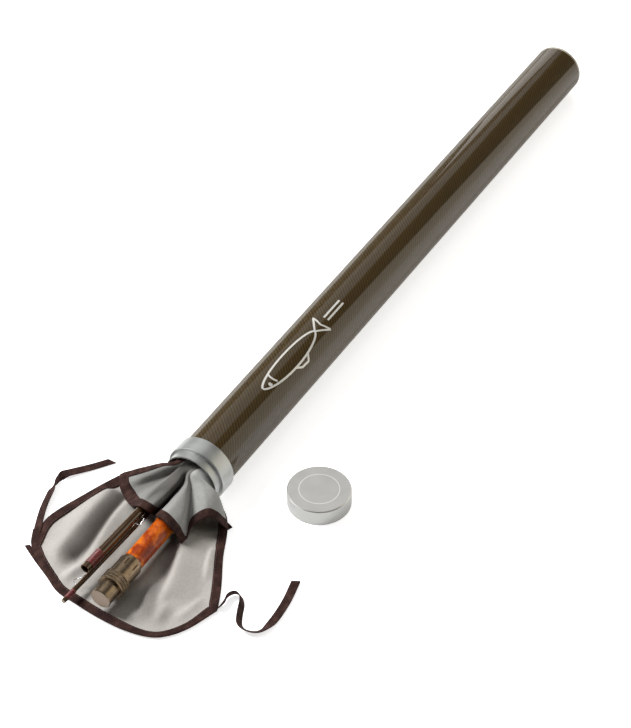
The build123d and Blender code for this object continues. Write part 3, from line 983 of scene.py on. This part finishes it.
def hem_stations(grid, width, start_row):
    """Stations round a grid's two sides and last row, inset over its surface."""
    loop = np.concatenate([grid[start_row:, 0], grid[-1, 1:-1], grid[start_row:, -1][::-1]])
    total = distances_along(loop)[-1]
    loop = walk(loop, np.linspace(0, total, int(total / HEM_SPACING)))
    rows, columns = grid.shape[:2]
    tree = BVHTree.FromPolygons([Vector(p) for p in grid.reshape(-1, 3)], strip_faces(rows, columns))
    middle = Vector(grid[rows // 2, columns // 2])
    stations = []
    for i, point in enumerate(loop):
        factor = eased(i / (len(loop) - 1), HEM_WIDTHS)
        ahead = Vector(loop[min(i + 3, len(loop) - 1)] - loop[max(i - 3, 0)]).normalized()
        here = Vector(point)
        normal = tree.find_nearest(here)[1]
        normal = normal if normal.z > 0 else -normal
        inward = normal.cross(ahead).normalized()
        inward = inward if inward.dot(middle - here) > 0 else -inward
        points, normals = [], []
        for inset in np.linspace(0, width, TAPE_POINTS):
            spot, facing = tree.find_nearest(here + inward * inset * factor)[:2]
            points.append(np.array(spot if inset else here))
            normals.append(np.array(facing if facing.dot(normal) > 0 else -facing))
        stations.append((np.array(points), np.array(normals)))
    return stations


POCKET_TAPE = 7.0 * MM
EDGE_TAPE = 5.0 * MM
FLAP_TAPE = 7.0 * MM
STITCH_INSET = 1.3 * MM

lip = lip_stations(pocket_grid, POCKET_TAPE)
folded_tape("pocket_tape", lip, POCKET_TAPE,
            ["pocket_left_binding", "pocket_middle_section_binding", "pocket_butt_section_binding",
             "pocket_right_binding"])
edge_normals = grid_normals(pocket_grid)
edge = [(walk(pocket_grid[i], np.linspace(0, EDGE_TAPE, EDGE_POINTS)), edge_normals[i, :EDGE_POINTS])
        for i in range(ROW_STEPS // 2, len(pocket_grid) - 1)]
folded_tape("pocket_edge_tape", edge, EDGE_TAPE, [])
hem = hem_stations(flap_grid, FLAP_TAPE, ROW_STEPS + 1)
folded_tape("flap_tape", hem, FLAP_TAPE, ["flap_binding"])


def stitch_row(name, stations, width):
    """The seam along the inner edge of a tape."""
    share = 1 - STITCH_INSET / width
    line, ups = [], []
    for points, normals in stations:
        place = share * (len(points) - 1)
        k = min(int(place), len(points) - 2)
        line.append(points[k] + (points[k + 1] - points[k]) * (place - k))
        ups.append(normals[k])
    stitches(name, np.array(line), np.array(ups), TAPE_LIFT + TAPE * 0.7)


def loose_end(name, route, width, roll):
    """A short end of tape that sticks out from under the hem."""
    line = [at(*point) for point in smooth_curve(route, steps=6)]
    piece = ribbon(name, line, width, TIE_THICKNESS, lambda share: roll, slant=1.5 * MM)
    dress(piece, tape_material, "sock")


loose_end("left_corner_end", [(-141, 53, 1.0), (-131, 73, 0.9), (-124, 86, 0.7), (-120.5, 92, 0.5)],
          4.4 * MM, -4.0)
loose_end("left_tie_tab", [(-121, 82.5, 2.4), (-114, 88.5, 2.4), (-103, 94.5, 2.4)], 7.0 * MM, -6.0)
loose_end("right_corner_end", [(-20, -37, 4.5), (-18.5, -41, 4.0), (-19.5, -45.5, 2.6)], 6.0 * MM, 25.0)

stitch_row("pocket_tape_stitches", lip, POCKET_TAPE)
stitch_row("flap_tape_stitches", hem, FLAP_TAPE)

# --- CAD pieces that keep their shape


def finish_node(name, material, bevel):
    """Give a CAD piece its material and, for a bevel above 0, softened edges."""
    piece = nodes[name]
    for slot in piece.material_slots:
        slot.material = material
    if not piece.material_slots:
        piece.data.materials.append(material)
    if bevel:
        modifier = piece.modifiers.new("edges", "BEVEL")
        modifier.width = bevel
        modifier.segments = 3
        modifier.angle_limit = math.radians(35)
        modifier.harden_normals = True
        modifier.use_clamp_overlap = True


# Each material's nodes, with the millimetres that their edges are softened by.
for material, softened in (
    (composite, {"tube_shell": 0.0}),
    (aluminium, {"mouth_collar": 0.25, "base_cap": 0.2, "cap_shell": 0.3}),
    (foam, {"base_pad": 0.0, "cap_liner": 0.0}),
    (bronze, {"butt_plate": 0.25, "seat_barrel": 0.2, "fixed_hood": 0.3, "winding_check": 0.2,
              "sliding_hood": 0.25, "lock_nut": 0.15}),
    (wood, {"seat_insert": 0.0}),
    (cork, {"cork_grip": 0.0}),
    (blank_material, {"butt_blank": 0.0, "middle_ferrule": 0.2, "middle_blank": 0.0, "tip_blank": 0.2}),
    (wrap_material, {"middle_wrap": 0.1, "tip_wrap": 0.1}),
    (wire, {"middle_snake_guide": 0.0, "tip_snake_guide": 0.0}),
):
    for name, bevel in softened.items():
        finish_node(name, material, bevel * MM)

# --- generic mark

MARK_START, MARK_TURN = 92.0, 106.0
MARK_HALF_WIDTH = 0.95
MARK_STEP = 1.2
INK = 0.08


def mark_outlines():
    """A plain fish and two pinstripes: lines of (along, around) millimetres from the mark's start."""
    steps = np.linspace(0, math.pi, 25)
    back = [(6 + 44 * (1 - math.cos(a)), 9.5 * math.sin(a) ** 1.15) for a in steps]
    belly = [(x, -0.8 * y) for x, y in reversed(back)]
    tail = [(94, 0), (101, 5), (108, 10), (104.5, 0), (108, -10), (101, -5), (94, 0)]
    gill = [(25 - 3.5 * math.cos(a), 6.2 * math.sin(a)) for a in np.linspace(-1.0, 1.0, 11)]
    eye = [(15 + 1.2 * math.cos(a), 2.2 + 1.2 * math.sin(a)) for a in np.linspace(0, 2 * math.pi, 13)]
    fin = [(48, 9.6), (54, 13.5), (64, 14), (70, 8.2)]
    return [back + belly[1:], tail, gill, eye, fin, [(114, 2.2), (142, 2.2)], [(114, -2.2), (142, -2.2)]]


def make_mark():
    """The mark's printed lines, laid on the tube's wall."""
    radius = (TUBE_RADIUS + INK) * MM
    verts, faces = [], []
    for outline in mark_outlines():
        line = np.array(outline, float)
        length = distances_along(line)[-1]
        line = walk(line, np.arange(0, length + MARK_STEP / 2, MARK_STEP))
        ahead = np.gradient(line, axis=0)
        ahead /= np.maximum(np.linalg.norm(ahead, axis=1, keepdims=True), 1e-9)
        first = len(verts)
        for (along, around), (step_x, step_y) in zip(line, ahead):
            for side in (-MARK_HALF_WIDTH, MARK_HALF_WIDTH):
                x = MARK_START + along - step_y * side
                angle = math.radians(MARK_TURN) + (around + step_x * side) * MM / radius
                height = tube_height + (base_height - tube_height) * x / TUBE_LENGTH
                y, z = radius * math.cos(angle), radius * math.sin(angle)
                verts.append((mouth_x + x * MM, mouth_y + y, height + z))
        faces += [tuple(first + k for k in f) for f in strip_faces(len(line), 2)]
    dress(new_mesh("tube_mark", verts, faces), silver_ink, "tube")


make_mark()

# --- stage and light

FLOOR_SIZE = 14.0
FLOOR_PLACE = (0.0, 0.0, -0.4 * MM)


def make_floor():
    """Plain white paper with a little light of its own, so that it stays white out to the edges."""
    s = Shader("floor_paper", roughness=0.9)
    s.set("Base Color", (0.92, 0.92, 0.92, 1.0))
    s.set("Emission Color", (1.0, 1.0, 1.0, 1.0))
    s.set("Emission Strength", 0.7)
    bpy.ops.mesh.primitive_plane_add(size=FLOOR_SIZE, location=FLOOR_PLACE)
    floor = bpy.context.object
    floor.name = "floor"
    floor.data.materials.append(s.material)


def make_world():
    world = bpy.data.worlds.new("studio")
    world.use_nodes = True
    background = world.node_tree.nodes["Background"]
    background.inputs["Color"].default_value = (1.0, 1.0, 1.0, 1.0)
    background.inputs["Strength"].default_value = 0.10
    bpy.context.scene.world = world


def add_light(name, pose, size, power, colour=(1.0, 1.0, 1.0)):
    """A rectangular area light, with its pose as a matrix."""
    data = bpy.data.lights.new(name, "AREA")
    data.shape = "RECTANGLE"
    data.size, data.size_y = size
    data.energy = power
    data.color = colour
    light = bpy.data.objects.new(name, data)
    light.matrix_world = pose
    bpy.context.collection.objects.link(light)


def make_panel(name, place, target, size, power):
    """A soft light panel that faces a target."""
    facing = (Vector(target) - Vector(place)).to_track_quat("-Z", "Y")
    add_light(name, Matrix.LocRotScale(Vector(place), facing, None), size, power)


def make_edge_panel(name, start, end, target, drop, power, colour):
    """A light panel that hangs down from a straight top edge and faces a target."""
    start, end = Vector(start), Vector(end)
    along = (end - start).normalized()
    facing = Vector(target) - (start + end) / 2
    facing = (facing - along * facing.dot(along)).normalized()
    up = along.cross(facing)
    up = up if up.z > 0 else -up
    turn = Matrix((up.cross(-facing), up, -facing)).transposed().to_4x4()
    pose = Matrix.Translation((start + end) / 2 - up * drop / 2) @ turn
    add_light(name, pose, ((end - start).length, drop), power, colour)


make_floor()
make_world()
make_panel("key", (-0.55, 1.45, 1.75), target=(-0.15, 0.0, 0.0), size=(0.8, 0.8), power=84.0)
make_panel("top", (-0.2, -0.2, 2.7), target=(0.0, 0.0, 0.0), size=(1.6, 1.6), power=9.0)
make_panel("rim_left", (1.10, 0.49, 0.30), target=(0.33, 0.01, 0.03), size=(0.45, 0.4), power=1.0)
make_panel("far", (1.15, 0.72, 1.52), target=(-0.22, -0.08, 0.02), size=(1.5, 1.3), power=5.0)
make_edge_panel("rim_right", (0.50, -0.706, 1.194), (1.28, -0.617, 0.07), target=(0.08, 0.01, 0.03),
                drop=1.0, power=6.0, colour=(1.0, 0.93, 0.78))
bpy.context.scene.view_settings.view_transform = "Standard"
